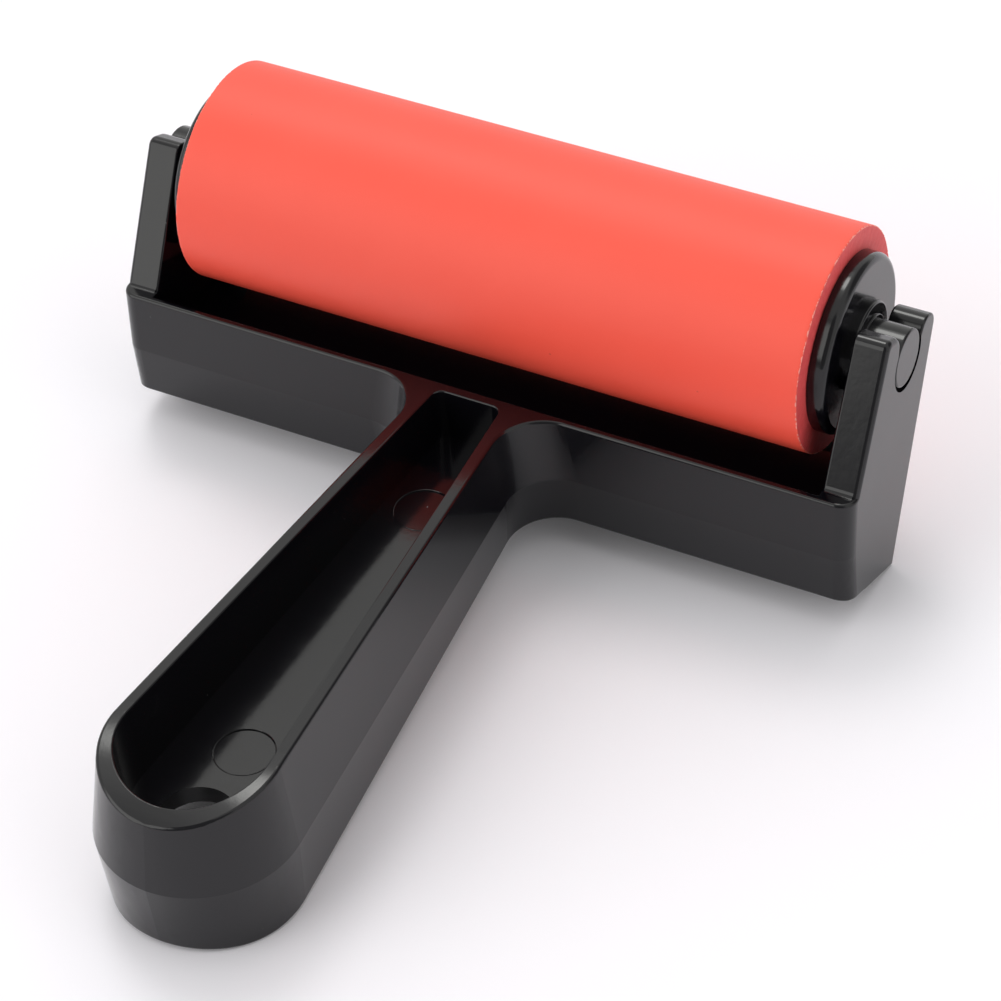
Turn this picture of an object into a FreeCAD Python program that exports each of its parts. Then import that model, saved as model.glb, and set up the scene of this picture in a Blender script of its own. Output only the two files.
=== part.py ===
import FreeCAD, Part
import math
import os

from FreeCAD import Vector

# Four-inch rubber brayer with a lift-out roller, lying on its back with the roller raised.
# X runs along the roller, Y runs from the handle's tail to the roller, Z is up.
# The shapes are made level with the handle's foot, and export() tips them back until
# the crossbar's toes and the tail lie on the table. The origin of the written parts is
# the middle of the footprint, on the table.
# All sizes are in millimetres and all angles in degrees.

# Roller
sleeve_length = 100.0
sleeve_radius = 16.8
core_radius = 12.9
core_bore_radius = 11.2
flange_radius = 13.4
flange_thickness = 2.7
flange_edge_round = 1.1
spigot_length = 12.0
spigot_bore_radius = 9.2
hub_radius = 6.85
hub_height = 1.2
collar_radius = 5.0
collar_height = 0.35
collar_edge_round = 0.2
axle_radius = 4.45
axle_edge_round = 0.35
axle_y = 21.45
axle_z = 30.15

# Handle and crossbar, with y = 0 at the crossbar's rear face on the mould's parting line
frame_half_length = 59.75
arm_thickness = 5.3
handle_length = 93.8
handle_half_width = 9.0
side_flare = 0.0705
parting_height = 8.7
parting_rise_angle = 2.6
rim_height = 19.0
rim_rise_angle = 5.1
rim_inset = 1.8
rim_step_back = 0.85
foot_inset = 0.65
foot_step_back = 0.3
tail_rim_shorter = 2.9
tail_foot_shorter = 0.9
tail_dip_start = -74.8
tail_dip_radius = 41.0
tail_lift_start = -83.5
tail_lift_radius = 30.7
root_fillet = 7.5
corner_round = 2.6
outer_edge_round = 0.5
inner_edge_round = 0.25

# Channels above and below the web
web_top_height = 10.1
web_thickness = 3.0
web_rise_angle = 2.2
channel_half_width = 5.35
channel_front = 0.3
channel_tail = 87.9
channel_corner = 1.6
channel_draft = 0.25
channel_tail_draft = 1.0
channel_top_allowance = 6.0
under_wall = 2.2
under_front = -1.2
hole_radius = 5.5
hole_y = -80.3
ejector_radius = 4.2
ejector_depth = 0.12
ejector_flash = 0.09
ejector_places = (-15.4, -67.3)

# Trough in the crossbar
trough_rear_top = 1.95
trough_rear_floor = 2.4
trough_front_floor = 18.9
trough_front_top = 19.6
front_wall_height = 11.2
front_wall_set_back = 1.2
under_trough_rear = 3.0
underside_start = 0.9
underside_slope = 23.45
skirt_depth = 12.0

# Arms that hold the axle ends, measured across and along each arm from the axle
arm_lean = 27.0
arm_rear_reach = 9.9
arm_rear_taper = 0.055
arm_front_reach = 9.55
arm_front_taper = 0.07
seat_clearance = 0.08
lip_angle = 27.0
rear_prong_height = 4.5
rear_prong_gap = 4.6
rear_prong_round = 1.4
rear_mouth_round = 2.6
front_prong_height = 5.0
front_prong_gap = 5.0
front_prong_round = 2.0
front_mouth_round = 2.2
arm_rear_corner = 0.8
arm_front_corner = 0.35
arm_foot_fillet = 0.7
relief_radius = 4.85
relief_depth = 1.2
relief_across = 0.2
relief_along = -0.2
ledge_overlap = 1.5

height_allowance = 60.0
cut_margin = 0.01
match_tolerance = 0.02


def box(x0, x1, y0, y1, z0, z1):
    """Box between two opposite corners."""
    return Part.makeBox(x1 - x0, y1 - y0, z1 - z0, Vector(x0, y0, z0))


def cylinder_x(radius, x0, x1):
    """Cylinder on the axle line, from x0 to x1."""
    return Part.makeCylinder(radius, x1 - x0, Vector(x0, axle_y, axle_z), Vector(1, 0, 0))


def arc(a, b, c):
    """Arc edge through three points."""
    return Part.Arc(a, b, c).toShape()


def line(a, b):
    """Straight edge between two points."""
    return Part.makeLine(a, b)


def mirrored(edges):
    """The same edges on the other side of the middle plane, in reverse order."""
    return [edge.mirror(Vector(0, 0, 0), Vector(1, 0, 0)) for edge in reversed(edges)]


def tail_edges(half_width, length):
    """Flared side line and half of the round tail that it runs into."""
    slant = math.hypot(1.0, side_flare)
    radius = (half_width + side_flare * length) / (slant + side_flare)
    centre = Vector(0, radius - length, 0)
    touch = centre + Vector(radius / slant, radius * side_flare / slant, 0)
    half_angle = (math.atan(side_flare) - math.pi / 2.0) / 2.0
    middle = centre + Vector(radius * math.cos(half_angle), radius * math.sin(half_angle), 0)
    return touch, arc(touch, middle, Vector(0, -length, 0))


def tee_outline(half_width, length, rear, front):
    """Plan of crossbar and handle as one closed wire, at height zero."""
    slant = math.hypot(1.0, side_flare)
    touch, tail = tail_edges(half_width, length)
    fillet_y = rear - root_fillet
    fillet_x = half_width + root_fillet * slant - side_flare * fillet_y
    fillet_centre = Vector(fillet_x, fillet_y, 0)
    inward = Vector(-1, -side_flare, 0).normalize()
    outward = Vector(0, 1, 0)
    halfway = (inward + outward).normalize()
    side_end = fillet_centre + inward * root_fillet
    bar_start = fillet_centre + outward * root_fillet
    corner_x = frame_half_length - corner_round
    corner_centre = Vector(corner_x, rear + corner_round, 0)
    corner_middle = corner_centre + Vector(1, -1, 0).normalize() * corner_round
    bar_end = Vector(corner_x, rear, 0)
    side_start = Vector(frame_half_length, rear + corner_round, 0)
    front_corner = Vector(frame_half_length, front, 0)
    half = [
        line(Vector(0, front, 0), front_corner),
        line(front_corner, side_start),
        arc(side_start, corner_middle, bar_end),
        line(bar_end, bar_start),
        arc(bar_start, fillet_centre + halfway * root_fillet, side_end),
        line(side_end, touch),
        tail,
    ]
    return Part.Wire(half + mirrored(half))


def channel_outline(half_width, front, length):
    """Plan of a channel in the handle, square with round corners at the front."""
    touch, tail = tail_edges(half_width, length)
    side_x = half_width - side_flare * front
    corner_centre = Vector(side_x - channel_corner, front - channel_corner, 0)
    front_end = corner_centre + Vector(0, channel_corner, 0)
    side_start = corner_centre + Vector(channel_corner, 0, 0)
    corner_middle = corner_centre + Vector(1, 1, 0).normalize() * channel_corner
    half = [
        line(Vector(0, front, 0), front_end),
        arc(front_end, corner_middle, side_start),
        line(side_start, touch),
        tail,
    ]
    return Part.Wire(half + mirrored(half))


def placed(wire, height, rise_angle):
    """Plan wire lifted to its height, on a plane that rises towards the tail."""
    wire = wire.copy()
    wire.rotate(Vector(0, 0, 0), Vector(1, 0, 0), -rise_angle)
    wire.translate(Vector(0, 0, height))
    return wire


def arm_point(across, along):
    """Point in the arm's plane, measured from the axle, along and across the arm."""
    lean = math.radians(arm_lean)
    y = axle_y + along * math.sin(lean) + across * math.cos(lean)
    z = axle_z + along * math.cos(lean) - across * math.sin(lean)
    return Vector(0, y, z)


def arm_edge_point(side, along):
    """Point on the arm's edge line; side is 1 in front and -1 at the rear."""
    if side > 0:
        return arm_point(arm_front_reach - arm_front_taper * along, along)
    return arm_point(arm_rear_taper * along - arm_rear_reach, along)


def arm_edge_y(side, height):
    """Where the arm's edge line stands at a height."""
    top = arm_edge_point(side, 0.0)
    low = arm_edge_point(side, -axle_z)
    return low.y + (top.y - low.y) * (height - low.z) / (top.z - low.z)


def edge_y_on_plane(side, height, rise_angle):
    """Where the arm's edge line meets a plane that rises towards the tail."""
    lean = arm_edge_y(side, 1.0) - arm_edge_y(side, 0.0)
    return arm_edge_y(side, height) / (1.0 + lean * math.tan(math.radians(rise_angle)))


def front_wall_y(height, rise_angle):
    """Where the crossbar's front wall meets such a plane."""
    return edge_y_on_plane(1, height, rise_angle) - front_wall_set_back


def underside_point(y):
    """Point on the crossbar's sloping underside."""
    slope = math.tan(math.radians(underside_slope))
    return Vector(0, y, (underside_start - y) * slope)


def toe_point():
    """Lowest point of the arm, where its front edge line meets the underside."""
    height = underside_start * math.tan(math.radians(underside_slope))
    return underside_point(edge_y_on_plane(1, height, underside_slope))


def arm_plate():
    """Arm with two sharp prongs and a snap-in seat for the axle, before its edges are rounded."""
    seat = axle_radius + seat_clearance
    lip = math.radians(lip_angle)
    lip_across = seat * math.cos(lip)
    lip_along = seat * math.sin(lip)
    rear_lip = arm_point(-lip_across, lip_along)
    front_lip = arm_point(lip_across, lip_along)
    foot = Vector(0, arm_edge_y(-1, rim_height - ledge_overlap), rim_height - ledge_overlap)
    corners = [
        front_lip,
        arm_point(front_prong_gap, front_prong_height),
        arm_edge_point(1, front_prong_height),
        toe_point(),
        underside_point(foot.y + corner_round),
        foot,
        arm_edge_point(-1, rear_prong_height),
        arm_point(-rear_prong_gap, rear_prong_height),
        rear_lip,
    ]
    edges = [line(a, b) for a, b in zip(corners, corners[1:])]
    edges.append(arc(rear_lip, arm_point(0.0, -seat), front_lip))
    return Part.Face(Part.Wire(edges)).extrude(Vector(arm_thickness, 0, 0))


def edges_through(shape, point):
    """Edges along X that pass through a point of the side view."""
    found = []
    for edge in shape.Edges:
        middle = edge.CenterOfMass
        near = math.hypot(middle.y - point.y, middle.z - point.z) < match_tolerance
        if near and edge.BoundBox.XLength > match_tolerance:
            found.append(edge)
    return found


def arm(side):
    """Arm at one end of the crossbar; side is 1 or -1."""
    plate = arm_plate()
    rounds = [
        (arm_edge_point(-1, rear_prong_height), rear_prong_round),
        (arm_point(-rear_prong_gap, rear_prong_height), rear_mouth_round),
        (arm_point(front_prong_gap, front_prong_height), front_mouth_round),
        (arm_edge_point(1, front_prong_height), front_prong_round),
    ]
    for point, size in rounds:
        plate = plate.makeFillet(size, edges_through(plate, point))
    relief_centre = arm_point(relief_across, relief_along)
    plate = plate.cut(Part.makeCylinder(relief_radius, relief_depth, relief_centre, Vector(1, 0, 0)))
    outer = [edge for edge in plate.Edges if flat_in_x(edge, 0.0) and not in_relief(edge)]
    plate = plate.makeFillet(arm_rear_corner, [edge for edge in outer if in_rear_half(edge)])
    outer = [edge for edge in plate.Edges if flat_in_x(edge, 0.0) and not in_relief(edge)]
    inner = [edge for edge in plate.Edges if flat_in_x(edge, arm_thickness)]
    plate = plate.makeFillet(arm_front_corner, [edge for edge in outer if not in_rear_half(edge)] + inner)
    plate.translate(Vector(-frame_half_length, 0, 0))
    if side > 0:
        return plate.mirror(Vector(0, 0, 0), Vector(1, 0, 0))
    return plate


def arm_foot_cove(side):
    """Small cove where the arm's rear face stands on the crossbar's rim; side is 1 or -1."""
    y = edge_y_on_plane(-1, rim_height, rim_rise_angle)
    corner = Vector(0, y, rim_plane_height(y))
    up = (arm_edge_point(-1, 0.0) - corner).normalize()
    rearward = Vector(0, -1.0, math.tan(math.radians(rim_rise_angle))).normalize()
    middle = (up + rearward).normalize()
    half_angle = up.getAngle(rearward) / 2.0
    reach = arm_foot_fillet / math.cos(half_angle) - arm_foot_fillet * math.tan(half_angle)
    upper = corner + up * arm_foot_fillet
    lower = corner + rearward * arm_foot_fillet
    sunk = corner - middle * arm_foot_fillet
    edges = [arc(upper, corner + middle * reach, lower), line(lower, sunk), line(sunk, upper)]
    length = arm_thickness - arm_front_corner - arm_rear_corner
    cove = Part.Face(Part.Wire(edges)).extrude(Vector(length, 0, 0))
    cove.translate(Vector(frame_half_length - arm_thickness + arm_front_corner, 0, 0))
    if side > 0:
        return cove
    return cove.mirror(Vector(0, 0, 0), Vector(1, 0, 0))


def in_rear_half(edge):
    """True for an edge behind the line through the axle along the arm."""
    middle = edge.CenterOfMass
    return middle.y < arm_point(0.0, 0.0).y + (middle.z - axle_z) * math.tan(math.radians(arm_lean))


def in_relief(edge):
    """True for an edge of the relief round the axle's end."""
    centre = arm_point(relief_across, relief_along)
    middle = edge.valueAt((edge.FirstParameter + edge.LastParameter) / 2.0)
    return math.hypot(middle.y - centre.y, middle.z - centre.z) < relief_radius + match_tolerance


def flat_in_x(edge, x):
    """True for an edge that lies in the plane of that x."""
    limits = edge.BoundBox
    return abs(limits.XMin - x) < match_tolerance and abs(limits.XMax - x) < match_tolerance


def rim_plane_height(y):
    """Height of the straight part of the rim."""
    return rim_height - y * math.tan(math.radians(rim_rise_angle))


def tail_dip_centre():
    """Centre of the arc that turns the rim down at the tail."""
    rise = math.radians(rim_rise_angle)
    start = Vector(0, tail_dip_start, rim_plane_height(tail_dip_start))
    return start - Vector(0, math.sin(rise), math.cos(rise)) * tail_dip_radius


def rim_top_height(y):
    """Height of the rim, with the dip at the tail."""
    if y > tail_dip_start:
        return rim_plane_height(y)
    centre = tail_dip_centre()
    return centre.z + math.sqrt(tail_dip_radius ** 2 - (y - centre.y) ** 2)


def on_rim(edge):
    """True for an edge whose ends lie on the rim's top."""
    return all(abs(end.Z - rim_top_height(end.Y)) < match_tolerance for end in edge.Vertexes)


def underside_height(y):
    """Height of the frame's underside: a lift at the tail, a level handle, a sloping crossbar."""
    if y < tail_lift_start:
        return tail_lift_radius - math.sqrt(tail_lift_radius ** 2 - (y - tail_lift_start) ** 2)
    return min(0.0, underside_point(y).z)


def on_foot(edge):
    """True for an edge whose ends lie on the frame's underside."""
    return all(abs(end.Z - underside_height(end.Y)) < match_tolerance for end in edge.Vertexes)


def spans_handle(edge):
    """True for a line straight across the handle where the tail's dip or lift starts."""
    limits = edge.BoundBox
    across = limits.YLength < match_tolerance
    return across and any(abs(limits.YMin - y) < match_tolerance for y in (tail_dip_start, tail_lift_start))


def above_tail():
    """What the dip takes off the top of the tail."""
    points = [tail_dip_start, (tail_dip_start - handle_length) / 2.0, -handle_length]
    start, middle, end = [Vector(-frame_half_length, y, rim_top_height(y)) for y in points]
    up = Vector(0, 0, rim_height)
    edges = [
        arc(start, middle, end),
        line(end, end + up),
        line(end + up, start + up),
        line(start + up, start),
    ]
    return Part.Face(Part.Wire(edges)).extrude(Vector(2.0 * frame_half_length, 0, 0))


def below_underside():
    """Everything under the frame's underside."""
    tail = -handle_length
    middle = (tail_lift_start + tail) / 2.0
    points = [Vector(-frame_half_length, y, underside_height(y)) for y in (tail, middle, tail_lift_start)]
    heel = Vector(-frame_half_length, underside_start, 0)
    front = underside_point(toe_point().y + skirt_depth) + Vector(-frame_half_length, 0, 0)
    deep = Vector(0, 0, -2.0 * skirt_depth)
    edges = [
        arc(*points),
        line(points[2], heel),
        line(heel, front),
        line(front, front + deep),
        line(front + deep, points[0] + deep),
        line(points[0] + deep, points[0]),
    ]
    return Part.Face(Part.Wire(edges)).extrude(Vector(2.0 * frame_half_length, 0, 0))


def tee_body():
    """Solid handle and crossbar, widest at the parting line."""
    foot_width = handle_half_width - foot_inset
    foot_length = handle_length - tail_foot_shorter
    skirt = tee_outline(foot_width, foot_length, foot_step_back, front_wall_y(-skirt_depth, 0.0))
    foot = tee_outline(foot_width, foot_length, foot_step_back, front_wall_y(0.0, 0.0))
    parting = tee_outline(
        handle_half_width,
        handle_length,
        0.0,
        front_wall_y(parting_height, parting_rise_angle),
    )
    rim = tee_outline(
        handle_half_width - rim_inset,
        handle_length - tail_rim_shorter,
        rim_step_back,
        front_wall_y(rim_height, rim_rise_angle),
    )
    wires = [
        placed(skirt, -skirt_depth, 0.0),
        placed(foot, 0.0, 0.0),
        placed(parting, parting_height, parting_rise_angle),
        placed(rim, rim_height, rim_rise_angle),
    ]
    solid = Part.makeLoft(wires, True, True).cut([above_tail(), below_underside()])
    rims = [edge for edge in solid.Edges if on_rim(edge) and not spans_handle(edge)]
    feet = [edge for edge in solid.Edges if on_foot(edge) and not spans_handle(edge)]
    return solid.makeFillet(outer_edge_round, rims + feet)


def channel_reach(y):
    """Half-width that parts the channel's top edge from the handle's outer rim."""
    middle = (channel_half_width + handle_half_width - rim_inset) / 2.0
    return middle - side_flare * y


def upper_channel():
    """Channel in the top of the handle, down to the web."""
    floor = channel_outline(channel_half_width - channel_draft, channel_front - channel_draft, channel_tail)
    top = channel_outline(
        channel_half_width + channel_draft,
        channel_front + channel_draft,
        channel_tail + channel_tail_draft,
    )
    wires = [
        placed(floor, web_top_height, web_rise_angle),
        placed(top, rim_height + channel_top_allowance, rim_rise_angle),
    ]
    return Part.makeLoft(wires, True, True)


def under_channel():
    """Channel in the underside of the handle, up to the web."""
    width = handle_half_width - foot_inset - under_wall
    length = handle_length - tail_foot_shorter - under_wall
    mouth = channel_outline(width, under_front, length)
    roof = channel_outline(width - channel_draft, under_front - channel_draft, length - channel_draft)
    wires = [
        placed(mouth, -cut_margin, 0.0),
        placed(roof, web_top_height - web_thickness, web_rise_angle),
    ]
    return Part.makeLoft(wires, True, True)


def trough():
    """Space above the crossbar's web, open towards the roller."""
    inner = frame_half_length - arm_thickness
    points = [
        Vector(-inner, trough_rear_floor, web_top_height),
        Vector(-inner, trough_front_floor, web_top_height),
        Vector(-inner, trough_front_top, front_wall_height),
        Vector(-inner, height_allowance, front_wall_height),
        Vector(-inner, height_allowance, height_allowance),
        Vector(-inner, trough_rear_top, height_allowance),
        Vector(-inner, trough_rear_top, rim_height),
        Vector(-inner, trough_rear_floor, web_top_height),
    ]
    return Part.Face(Part.makePolygon(points)).extrude(Vector(2.0 * inner, 0, 0))


def under_trough():
    """Space below the crossbar's web, with a front wall of even thickness."""
    inner = frame_half_length - arm_thickness
    roof = web_top_height - web_thickness
    points = [
        Vector(-inner, under_trough_rear, -skirt_depth),
        Vector(-inner, front_wall_y(-skirt_depth, 0.0) - under_wall, -skirt_depth),
        Vector(-inner, front_wall_y(roof, 0.0) - under_wall, roof),
        Vector(-inner, under_trough_rear, roof),
        Vector(-inner, under_trough_rear, -skirt_depth),
    ]
    return Part.Face(Part.makePolygon(points)).extrude(Vector(2.0 * inner, 0, 0))


def ejector_mark(place):
    """Shallow round mark that a mould pin leaves on the web."""
    height = web_top_height - place * math.tan(math.radians(web_rise_angle))
    disc = Part.makeCylinder(ejector_radius, web_thickness, Vector(0, 0, -ejector_depth))
    disc.rotate(Vector(0, 0, 0), Vector(1, 0, 0), -web_rise_angle)
    disc.translate(Vector(0, place, height))
    return disc


def ejector_ring(place):
    """Thread of flash round such a mark."""
    height = web_top_height - place * math.tan(math.radians(web_rise_angle))
    normal = Vector(0, math.sin(math.radians(web_rise_angle)), math.cos(math.radians(web_rise_angle)))
    return Part.makeTorus(ejector_radius + ejector_flash, ejector_flash, Vector(0, place, height), normal)


def inner_rims(body):
    """Inner top edges of the handle's channel and of the crossbar's rear wall."""
    rims = []
    for edge in body.Edges:
        limits = edge.BoundBox
        if not on_rim(edge) or spans_handle(edge):
            continue
        in_channel = max(abs(limits.XMin), abs(limits.XMax)) < channel_reach(limits.YMin)
        along_wall = abs(limits.YMin - trough_rear_top) < match_tolerance and limits.XLength > sleeve_length
        if in_channel or along_wall:
            rims.append(edge)
    return rims


def make_handle_frame():
    """One-piece moulding: handle, crossbar and both arms."""
    body = tee_body()
    body = body.cut([upper_channel(), under_channel(), trough(), under_trough()])
    body = body.makeFillet(inner_edge_round, inner_rims(body))
    body = body.fuse([arm(1), arm(-1), arm_foot_cove(1), arm_foot_cove(-1)])
    hole = Part.makeCylinder(hole_radius, height_allowance, Vector(0, hole_y, 0))
    marks = [ejector_mark(place) for place in ejector_places]
    rings = [ejector_ring(place) for place in ejector_places]
    return body.cut([hole] + marks).removeSplitter().fuse(rings)


def make_rubber_sleeve():
    """Soft rubber tube that carries the ink."""
    half = sleeve_length / 2.0
    return cylinder_x(sleeve_radius, -half, half).cut(cylinder_x(core_radius, -half, half))


def make_core_tube():
    """Stiff tube inside the rubber."""
    half = sleeve_length / 2.0
    return cylinder_x(core_radius, -half, half).cut(cylinder_x(core_bore_radius, -half, half))


def turned(points, rounds):
    """Solid turned about the axle from a half profile of (x, radius) points."""
    corners = [Vector(x, axle_y, axle_z + radius) for x, radius in points]
    profile = Part.Face(Part.makePolygon(corners + [corners[0]]))
    solid = profile.revolve(Vector(0, axle_y, axle_z), Vector(1, 0, 0), 360)
    for radius, x, size in rounds:
        edges = [edge for edge in solid.Edges if is_ring(edge, radius, x)]
        solid = solid.makeFillet(size, edges)
    return solid


def is_ring(edge, radius, x):
    """True for the circle of that radius at that x."""
    curve = edge.Curve
    if not isinstance(curve, Part.Circle):
        return False
    same_radius = abs(curve.Radius - radius) < match_tolerance
    return same_radius and abs(curve.Center.x - x) < match_tolerance


def make_end_cap(side):
    """Plug, flange and stub axle in one piece; side is 1 or -1."""
    seat = sleeve_length / 2.0
    flange_face = seat + flange_thickness
    hub_face = flange_face + hub_height
    collar_face = hub_face + collar_height
    points = [
        (seat - spigot_length, spigot_bore_radius),
        (seat - spigot_length, core_bore_radius),
        (seat, core_bore_radius),
        (seat, flange_radius),
        (flange_face, flange_radius),
        (flange_face, hub_radius),
        (hub_face, hub_radius),
        (hub_face, collar_radius),
        (collar_face, collar_radius),
        (collar_face, axle_radius),
        (frame_half_length, axle_radius),
        (frame_half_length, 0.0),
        (seat, 0.0),
        (seat, spigot_bore_radius),
    ]
    rounds = [
        (flange_radius, side * flange_face, flange_edge_round),
        (hub_radius, side * hub_face, axle_edge_round),
        (collar_radius, side * collar_face, collar_edge_round),
        (axle_radius, side * frame_half_length, axle_edge_round),
    ]
    return turned([(side * x, radius) for x, radius in points], rounds)


def rest_angle():
    """Tip from the handle's level to the line that touches both the toes and the tail's lift."""
    toe = toe_point()
    lift_centre = Vector(0, tail_lift_start, tail_lift_radius)
    apart = lift_centre - toe
    return math.degrees(math.acos(tail_lift_radius / apart.Length) - math.atan2(-apart.y, apart.z))


def at_rest(shape):
    """Shape or wire tipped to lie on the toes and the tail, with the table at height zero."""
    tipped = shape.copy()
    tipped.translate(-toe_point())
    tipped.rotate(Vector(0, 0, 0), Vector(1, 0, 0), rest_angle())
    return tipped


def footprint_middle():
    """Middle of the footprint from the tail to the front of the roller."""
    parting = placed(tee_outline(handle_half_width, handle_length, 0.0, 1.0), parting_height, parting_rise_angle)
    tail = at_rest(parting).BoundBox.YMin
    axle = at_rest(Part.Vertex(Vector(0, axle_y, axle_z))).Point
    return (tail + axle.y + sleeve_radius) / 2.0


def export(shape, name):
    """Lay a sub-part at rest over the origin and write it."""
    laid = at_rest(shape)
    laid.translate(Vector(0, -footprint_middle(), 0))
    laid.exportStep("parts/" + name + ".step")


os.makedirs("parts", exist_ok=True)
export(make_handle_frame(), "handle_frame")
export(make_rubber_sleeve(), "rubber_sleeve")
export(make_core_tube(), "core_tube")
export(make_end_cap(-1), "left_end_cap")
export(make_end_cap(1), "right_end_cap")
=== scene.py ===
import math

import bpy
from mathutils import Matrix, Vector, noise

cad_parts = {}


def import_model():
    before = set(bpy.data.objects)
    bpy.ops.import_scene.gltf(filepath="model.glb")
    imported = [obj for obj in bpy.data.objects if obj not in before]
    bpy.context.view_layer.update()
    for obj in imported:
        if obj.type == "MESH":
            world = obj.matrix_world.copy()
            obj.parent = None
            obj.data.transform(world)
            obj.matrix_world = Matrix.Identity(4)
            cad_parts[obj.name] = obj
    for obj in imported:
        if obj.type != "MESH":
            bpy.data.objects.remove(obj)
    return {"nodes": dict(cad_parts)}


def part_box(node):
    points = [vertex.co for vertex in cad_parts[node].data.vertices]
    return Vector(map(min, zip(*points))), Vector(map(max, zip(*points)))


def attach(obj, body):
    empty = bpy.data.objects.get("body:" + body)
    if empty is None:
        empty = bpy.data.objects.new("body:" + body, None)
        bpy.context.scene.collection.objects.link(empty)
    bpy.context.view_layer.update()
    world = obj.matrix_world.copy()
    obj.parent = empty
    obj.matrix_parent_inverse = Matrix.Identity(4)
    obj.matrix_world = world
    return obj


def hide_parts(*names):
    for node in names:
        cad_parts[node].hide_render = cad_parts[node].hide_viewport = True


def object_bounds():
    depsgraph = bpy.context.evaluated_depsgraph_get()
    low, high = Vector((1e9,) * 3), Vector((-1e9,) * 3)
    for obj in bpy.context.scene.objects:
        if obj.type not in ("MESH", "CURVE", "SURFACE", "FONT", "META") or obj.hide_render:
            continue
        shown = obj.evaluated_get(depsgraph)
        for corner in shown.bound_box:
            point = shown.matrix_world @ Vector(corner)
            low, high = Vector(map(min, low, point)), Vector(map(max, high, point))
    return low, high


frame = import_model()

# Lengths are in metres, or in millimetres where the name ends in MM. Angles are in degrees, and
# colours are linear red, green and blue.
CAD_LOW, CAD_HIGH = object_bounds()
MM = 0.001

# Moulded plastic and rubber colours
FRAME_TONE = (0.0034, 0.0031, 0.0048)
CAP_TONE = (0.0036, 0.0034, 0.0050)
FRAME_SEED = 0.0
CAP_SEED = 7.0
CORE_DARK, CORE_PALE = (0.012, 0.012, 0.012), (0.028, 0.028, 0.028)
DUST_GREY = (0.09, 0.09, 0.09)
RUBBER_DEEP, RUBBER_BRIGHT = (0.900, 0.078, 0.045), (0.940, 0.096, 0.058)
RUBBER_STREAK, RUBBER_PIT = (0.90, 0.13, 0.09), (0.36, 0.02, 0.012)
RUBBER_MARK, RUBBER_FRINGE = (0.95, 0.40, 0.32), (0.95, 0.48, 0.42)
CUT_DEEP, CUT_PALE, CUT_BLOTCH = (0.66, 0.042, 0.046), (0.92, 0.125, 0.120), (0.60, 0.050, 0.060)
PLASTIC_IOR = 1.46
RUBBER_IOR = 1.5

# Rubber sleeve
ROLLER_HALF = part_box("rubber_sleeve")[1].x
FRINGE_WIDTH = 0.35 * MM
EDGE_ROUND = 0.18 * MM
BURR_WIDTH = 0.5 * MM
POINTS_ROUND = 720
ROWS_ALONG = 160
ROWS_ON_EDGE = 4
ROWS_ON_END = 12

# Floor
FLOOR_HALF = 6.0
FLOOR_GAP = 0.05 * MM
FLOOR_COLOUR = (0.945, 0.925, 0.985)
FLOOR_GLOW = 0.025

# Studio round the object: an even glow, dark behind on the right and in front, a window low on the
# left, and a lamp with a halo high behind. Each patch is (direction, inner angle, outer angle,
# brightness).
STUDIO_COLOUR = (1.0, 1.0, 0.97, 1.0)
STUDIO_GLOW = 0.97
STUDIO_PATCHES = [
    ((0.60, 0.65, 0.45), 18.0, 34.0, 0.30),
    ((0.15, -0.853, 0.50), 33.0, 43.0, 0.30),
    ((-0.549, -0.702, 0.454), 23.0, 28.0, 2.40),
    ((-0.30, 0.36, 0.88), 10.0, 26.0, 1.55),
    ((-0.30, 0.36, 0.88), 6.0, 11.0, 8.00),
]

# Camera: where it stands round the target, and the target from the middle of the footprint
CAMERA_AZIMUTH = 29.055
CAMERA_ELEVATION = 41.741
CAMERA_ROLL = -3.127
CAMERA_DISTANCE = 0.5224
TARGET_OFFSET = (0.01418, 0.0105, 0.02437)
SENSOR_MM = 36.0
LENS_MM = 133.6


# ---------------------------------------------------------------- helpers
def new_object(name, verts, faces, smooth=True):
    """Mesh object made from lists of points and faces."""
    mesh = bpy.data.meshes.new(name)
    mesh.from_pydata(verts, [], faces)
    mesh.validate()
    mesh.polygons.foreach_set("use_smooth", [smooth] * len(mesh.polygons))
    obj = bpy.data.objects.new(name, mesh)
    bpy.context.scene.collection.objects.link(obj)
    return obj


def opaque(colour):
    """Colour with a full alpha."""
    return (*colour, 1.0)


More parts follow.
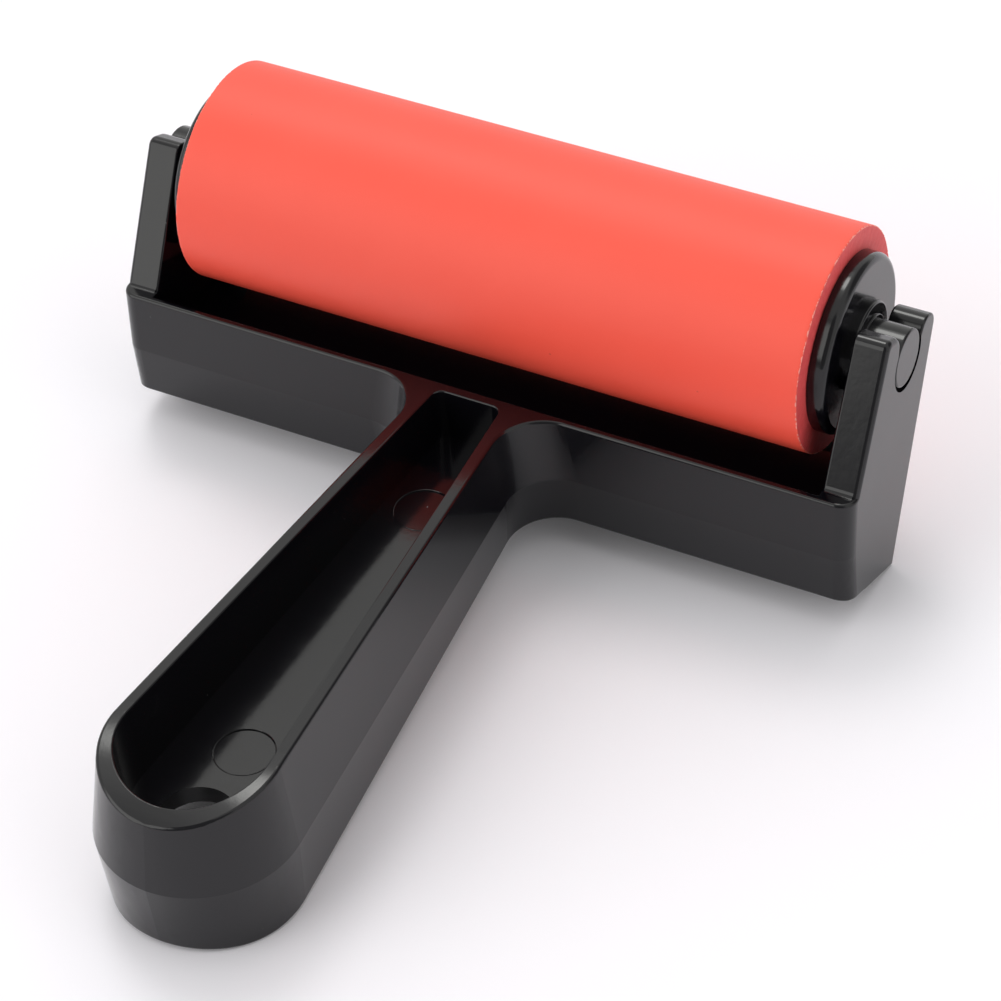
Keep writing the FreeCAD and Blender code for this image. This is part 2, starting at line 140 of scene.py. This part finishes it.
class Tree:
    """Small helper that builds a material's node tree."""

    def __init__(self, name):
        self.material = bpy.data.materials.new(name)
        self.material.use_nodes = True
        self.nodes = self.material.node_tree.nodes
        self.links = self.material.node_tree.links
        self.shader = self.nodes["Principled BSDF"]
        self.place = self.nodes.new("ShaderNodeTexCoord").outputs["Object"]

    def link(self, source, target):
        self.links.new(source, target)

    def fill(self, socket, value):
        """Link a socket, or set it to a constant."""
        if isinstance(value, bpy.types.NodeSocket):
            self.link(value, socket)
        else:
            socket.default_value = value

    def scaled(self, scale):
        """Object coordinates times a scale along each axis."""
        made = self.nodes.new("ShaderNodeMapping")
        self.link(self.place, made.inputs["Vector"])
        made.inputs["Scale"].default_value = scale
        return made.outputs["Vector"]

    def noise(self, scale, detail=3.0, roughness=0.5, place=None):
        """Fractal noise from 0 to 1."""
        made = self.nodes.new("ShaderNodeTexNoise")
        self.link(place or self.place, made.inputs["Vector"])
        made.inputs["Scale"].default_value = scale
        made.inputs["Detail"].default_value = detail
        made.inputs["Roughness"].default_value = roughness
        return made.outputs["Fac"]

    def specks(self, scale, size, share, place=None):
        """Small round spots, 1 in a spot and 0 elsewhere; share is how many of the cells have one."""
        cells = self.nodes.new("ShaderNodeTexVoronoi")
        cells.feature = "F1"
        self.link(place or self.place, cells.inputs["Vector"])
        cells.inputs["Scale"].default_value = scale
        spot = self.ramp(cells.outputs["Distance"], [(0.0, 1.0), (size, 0.0)])
        draw = self.nodes.new("ShaderNodeSeparateColor")
        self.link(cells.outputs["Color"], draw.inputs["Color"])
        pick = self.ramp(draw.outputs["Red"], [(share, 1.0), (share + 0.001, 0.0)])
        return self.math("MULTIPLY", spot, pick)

    def ramp(self, value, stops):
        """Piecewise linear curve from (position, level) pairs."""
        made = self.nodes.new("ShaderNodeValToRGB")
        self.link(value, made.inputs["Fac"])
        elements = made.color_ramp.elements
        while len(elements) > 1:
            elements.remove(elements[-1])
        elements[0].position = stops[0][0]
        elements[0].color = (stops[0][1],) * 3 + (1.0,)
        for position, level in stops[1:]:
            element = elements.new(position)
            element.color = (level,) * 3 + (1.0,)
        return made.outputs["Color"]

    def math(self, operation, *values):
        """Math node over one to three numbers or sockets."""
        made = self.nodes.new("ShaderNodeMath")
        made.operation = operation
        for socket, value in zip(made.inputs, values):
            self.fill(socket, value)
        return made.outputs["Value"]

    def mix(self, factor, a, b):
        """Colour a where factor is 0 and colour b where it is 1."""
        made = self.nodes.new("ShaderNodeMix")
        made.data_type = "RGBA"
        for socket, value in zip((made.inputs["Factor"], made.inputs[6], made.inputs[7]), (factor, a, b)):
            self.fill(socket, value)
        return made.outputs[2]

    def bump(self, height, distance, strength, under=None):
        """Normal pushed by a height, on top of the bump under it."""
        made = self.nodes.new("ShaderNodeBump")
        self.link(height, made.inputs["Height"])
        made.inputs["Distance"].default_value = distance
        made.inputs["Strength"].default_value = strength
        if under is not None:
            self.link(under, made.inputs["Normal"])
        return made.outputs["Normal"]


# ---------------------------------------------------------------- materials
def gloss_black(name, tone, seed):
    """Polished black moulding: soft sink waves, fine polish marks, a few specks of dust."""
    t = Tree(name)
    waves = t.noise(38.0 + seed, 2.0, 0.4)
    peel = t.noise(900.0, 2.0, 0.5)
    grain = t.noise(5200.0, 2.0, 0.6)
    polish = t.noise(70.0 + seed, 4.0, 0.65, t.scaled((1.0, 6.0, 3.0)))
    dust = t.specks(420.0, 0.055, 0.12)
    rough = t.math("ADD", t.math("MULTIPLY_ADD", polish, 0.08, 0.08), t.math("MULTIPLY", dust, 0.25))
    t.link(rough, t.shader.inputs["Roughness"])
    darker, paler = ([part * level for part in tone] for level in (0.75, 1.3))
    blotch = t.mix(t.noise(55.0, 3.0, 0.6), opaque(darker), opaque(paler))
    t.link(t.mix(dust, blotch, opaque(DUST_GREY)), t.shader.inputs["Base Color"])
    normal = t.bump(waves, 0.35 * MM, 0.35)
    normal = t.bump(peel, 0.02 * MM, 0.25, normal)
    normal = t.bump(grain, 0.004 * MM, 0.3, normal)
    normal = t.bump(dust, 0.04 * MM, 0.8, normal)
    t.link(normal, t.shader.inputs["Normal"])
    t.shader.inputs["IOR"].default_value = PLASTIC_IOR
    return t.material


def ragged_edge(t):
    """Pale broken fringe where the knife left the rubber: 1 on the fringe and 0 elsewhere."""
    axes = t.nodes.new("ShaderNodeSeparateXYZ")
    t.link(t.place, axes.inputs["Vector"])
    reach = t.math("SUBTRACT", t.math("ABSOLUTE", axes.outputs["X"]), ROLLER_HALF - FRINGE_WIDTH)
    torn = t.ramp(t.noise(1500.0, 3.0, 0.7), [(0.35, 0.0), (0.70, 1.0)])
    edge = t.math("DIVIDE", reach, FRINGE_WIDTH)
    return t.ramp(t.math("MULTIPLY", edge, torn), [(0.20, 0.0), (0.35, 1.0)])


def red_rubber(name):
    """Ground soft rubber: even red with faint clouding, fine pits and drag marks."""
    t = Tree(name)
    clouds = t.noise(45.0, 4.0, 0.6)
    streaks = t.noise(140.0, 4.0, 0.6, t.scaled((0.12, 1.0, 1.0)))
    tooth = t.noise(2600.0, 3.0, 0.7)
    pits = t.specks(260.0, 0.06, 0.10)
    marks = t.specks(150.0, 0.05, 0.08, t.scaled((0.5, 1.0, 1.0)))
    drag = t.ramp(streaks, [(0.45, 0.0), (0.75, 1.0)])
    base = t.mix(clouds, opaque(RUBBER_DEEP), opaque(RUBBER_BRIGHT))
    for cover, share, colour in (
        (drag, 0.12, RUBBER_STREAK),
        (pits, 0.75, RUBBER_PIT),
        (marks, 0.80, RUBBER_MARK),
        (ragged_edge(t), 0.65, RUBBER_FRINGE),
    ):
        base = t.mix(t.math("MULTIPLY", cover, share), base, opaque(colour))
    t.link(base, t.shader.inputs["Base Color"])
    t.link(t.math("MULTIPLY_ADD", streaks, 0.14, 0.44), t.shader.inputs["Roughness"])
    normal = t.bump(streaks, 0.04 * MM, 0.25)
    normal = t.bump(tooth, 0.01 * MM, 0.4, normal)
    normal = t.bump(pits, 0.05 * MM, -0.6, normal)
    t.link(normal, t.shader.inputs["Normal"])
    t.shader.inputs["IOR"].default_value = RUBBER_IOR
    return t.material


def cut_rubber(name):
    """Knife-cut rubber end: duller than the ground face, with a fine torn grain."""
    t = Tree(name)
    torn = t.noise(900.0, 4.0, 0.7)
    blotch = t.noise(180.0, 3.0, 0.6)
    base = t.mix(torn, opaque(CUT_DEEP), opaque(CUT_PALE))
    base = t.mix(t.math("MULTIPLY", blotch, 0.35), base, opaque(CUT_BLOTCH))
    t.link(base, t.shader.inputs["Base Color"])
    t.shader.inputs["Roughness"].default_value = 0.62
    t.link(t.bump(torn, 0.08 * MM, 0.7), t.shader.inputs["Normal"])
    return t.material


def matte_black(name):
    """Plain moulded black tube with drawn lines along it."""
    t = Tree(name)
    lines = t.noise(600.0, 3.0, 0.6, t.scaled((0.08, 1.0, 1.0)))
    t.link(t.mix(lines, opaque(CORE_DARK), opaque(CORE_PALE)), t.shader.inputs["Base Color"])
    t.link(t.math("MULTIPLY_ADD", lines, 0.2, 0.4), t.shader.inputs["Roughness"])
    t.link(t.bump(lines, 0.02 * MM, 0.4), t.shader.inputs["Normal"])
    return t.material


def dress(node, material):
    """Give a CAD node a material."""
    slots = frame["nodes"][node].material_slots
    if not slots:
        frame["nodes"][node].data.materials.append(material)
    for slot in slots:
        slot.material = material


frame_black = gloss_black("frame_black", FRAME_TONE, FRAME_SEED)
cap_black = gloss_black("cap_black", CAP_TONE, CAP_SEED)
dress("handle_frame", frame_black)
dress("left_end_cap", cap_black)
dress("right_end_cap", cap_black)
dress("core_tube", matte_black("core_black"))


# ---------------------------------------------------------------- rubber
def wobble(x, angle, radius, seed):
    """Smooth random number that closes up round the roller."""
    place = Vector((x, radius * math.cos(angle), radius * math.sin(angle)))
    return noise.noise(place + Vector((seed, seed, seed)))


def roller_profile(half, bore, radius):
    """Stations (x, radius, on a cut end) from one bore edge, over the outside, to the other."""
    first = []
    for k in range(ROWS_ON_END + 1):
        first.append((-half, bore + (radius - EDGE_ROUND - bore) * (k / ROWS_ON_END), True))
    for k in range(1, ROWS_ON_EDGE + 1):
        turn = math.radians(90.0 * k / ROWS_ON_EDGE)
        across = EDGE_ROUND * (1.0 - math.cos(turn))
        first.append((-half + across, radius - EDGE_ROUND + EDGE_ROUND * math.sin(turn), False))
    face = 2.0 * (half - EDGE_ROUND)
    middle = [(-half + EDGE_ROUND + face * k / ROWS_ALONG, radius, False) for k in range(1, ROWS_ALONG)]
    last = [(-x, r, on_end) for x, r, on_end in reversed(first)]
    return first + middle + last


def end_drift(angle, side):
    """Slow wander of a cut end round the roller, in millimetres."""
    return 0.08 * wobble(0.0, angle, 2.0, 3.0 * side) - 0.08


def uneven(x, r, angle, on_end, half):
    """Where a point of the profile really is: torn on a cut end, lightly wavy on the ground face."""
    side = math.copysign(1.0, x)
    if on_end:
        torn = wobble(r * 900.0, angle, 22.0, 5.0 * side)
        torn += 0.6 * wobble(r * 2600.0, angle, 60.0, 9.0 * side)
        return x + side * (0.05 * torn + end_drift(angle, side)) * MM, r
    wave = 0.010 * wobble(x * 60.0, angle, 1.2, 1.0) + 0.004 * wobble(x * 400.0, angle, 9.0, 2.0)
    near_end = 1.0 - (half - abs(x)) / BURR_WIDTH
    if near_end > 0.0:
        burr = wobble(0.0, angle, 34.0, 4.0 * side) + 0.7 * wobble(0.0, angle, 90.0, 6.0 * side)
        x += side * near_end * (0.07 * burr + end_drift(angle, side)) * MM
    return x, r + wave * MM


def rubber():
    """Sleeve with a lightly uneven ground surface and ragged knife-cut ends."""
    low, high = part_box("rubber_sleeve")
    core_low, core_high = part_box("core_tube")
    axle_y, axle_z = (low.y + high.y) / 2.0, (low.z + high.z) / 2.0
    half = (high.x - low.x) / 2.0
    radius = (high.z - low.z) / 2.0
    bore = (core_high.z - core_low.z) / 2.0
    stations = roller_profile(half, bore, radius)

    verts = []
    for x, r, on_end in stations:
        for j in range(POINTS_ROUND):
            angle = 2.0 * math.pi * j / POINTS_ROUND
            px, pr = uneven(x, r, angle, on_end, half)
            verts.append((px, axle_y + pr * math.cos(angle), axle_z + pr * math.sin(angle)))

    # Each row of faces joins a station to the next, and the last row closes the bore.
    faces, slots = [], []
    for i in range(len(stations)):
        after = (i + 1) % len(stations)
        cut = stations[i][2] and stations[after][2] and after > 0
        for j in range(POINTS_ROUND):
            k = (j + 1) % POINTS_ROUND
            here, there = i * POINTS_ROUND, after * POINTS_ROUND
            faces.append((here + j, here + k, there + k, there + j))
            slots.append(1 if cut else 0)
    obj = new_object("rubber_roller", verts, faces)
    obj.data.materials.append(red_rubber("ground_red_rubber"))
    obj.data.materials.append(cut_rubber("cut_red_rubber"))
    obj.data.polygons.foreach_set("material_index", slots)
    obj.data.update()
    return obj


roller = rubber()
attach(roller, "roller")
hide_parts("rubber_sleeve")


# ---------------------------------------------------------------- stage
def pale_material(name, colour):
    """Matt paper-like floor with the faintest mottling."""
    t = Tree(name)
    darker = [part * 0.985 for part in colour]
    t.link(t.mix(t.noise(9.0), opaque(darker), opaque(colour)), t.shader.inputs["Base Color"])
    t.shader.inputs["Roughness"].default_value = 0.8
    t.shader.inputs["Specular IOR Level"].default_value = 0.2
    t.shader.inputs["Emission Color"].default_value = opaque((1.0, 1.0, 1.0))
    t.shader.inputs["Emission Strength"].default_value = FLOOR_GLOW
    return t.material


def floor():
    """Plain floor just under the object."""
    z = CAD_LOW.z - FLOOR_GAP
    corners = [(x * FLOOR_HALF, y * FLOOR_HALF, z) for x, y in ((-1, -1), (1, -1), (1, 1), (-1, 1))]
    obj = new_object("studio_floor", corners, [(0, 1, 2, 3)], smooth=False)
    obj.data.materials.append(pale_material("floor_white", FLOOR_COLOUR))


def world():
    """Studio whose brightness is set by direction, patch by patch."""
    made = bpy.data.worlds.new("studio")
    made.use_nodes = True
    tree = made.node_tree
    background = tree.nodes["Background"]
    background.inputs["Color"].default_value = STUDIO_COLOUR
    direction = tree.nodes.new("ShaderNodeTexCoord").outputs["Generated"]
    level = None
    for aim, inner, outer, brightness in STUDIO_PATCHES:
        dot = tree.nodes.new("ShaderNodeVectorMath")
        dot.operation = "DOT_PRODUCT"
        tree.links.new(direction, dot.inputs[0])
        dot.inputs[1].default_value = Vector(aim).normalized()
        inside = tree.nodes.new("ShaderNodeMapRange")
        inside.interpolation_type = "SMOOTHSTEP"
        tree.links.new(dot.outputs["Value"], inside.inputs["Value"])
        inside.inputs["From Min"].default_value = math.cos(math.radians(outer))
        inside.inputs["From Max"].default_value = math.cos(math.radians(inner))
        mix = tree.nodes.new("ShaderNodeMix")
        tree.links.new(inside.outputs["Result"], mix.inputs["Factor"])
        if level is None:
            mix.inputs["A"].default_value = STUDIO_GLOW
        else:
            tree.links.new(level, mix.inputs["A"])
        mix.inputs["B"].default_value = brightness
        level = mix.outputs["Result"]
    tree.links.new(level, background.inputs["Strength"])
    bpy.context.scene.world = made


def camera():
    """Camera above the handle's tail and to its right, turned a little about its own axis."""
    azimuth, elevation, roll = map(math.radians, (CAMERA_AZIMUTH, CAMERA_ELEVATION, CAMERA_ROLL))
    centre = (CAD_LOW + CAD_HIGH) / 2.0
    across, along, above = TARGET_OFFSET
    target = Vector((centre.x + across, centre.y + along, CAD_LOW.z + above))
    reach = math.cos(elevation)
    back = Vector((math.sin(azimuth) * reach, -math.cos(azimuth) * reach, math.sin(elevation)))
    right = Vector((math.cos(azimuth), math.sin(azimuth), 0.0))
    up = back.cross(right)
    right, up = right * math.cos(roll) + up * math.sin(roll), up * math.cos(roll) - right * math.sin(roll)
    turn = Matrix((right, up, back)).transposed().to_4x4()
    data = bpy.data.cameras.new("camera")
    data.sensor_width = SENSOR_MM
    data.lens = LENS_MM
    obj = bpy.data.objects.new("camera", data)
    obj.matrix_world = Matrix.Translation(target + back * CAMERA_DISTANCE) @ turn
    bpy.context.scene.collection.objects.link(obj)
    bpy.context.scene.camera = obj


floor()
world()
camera()
bpy.context.scene.view_settings.view_transform = "Standard"
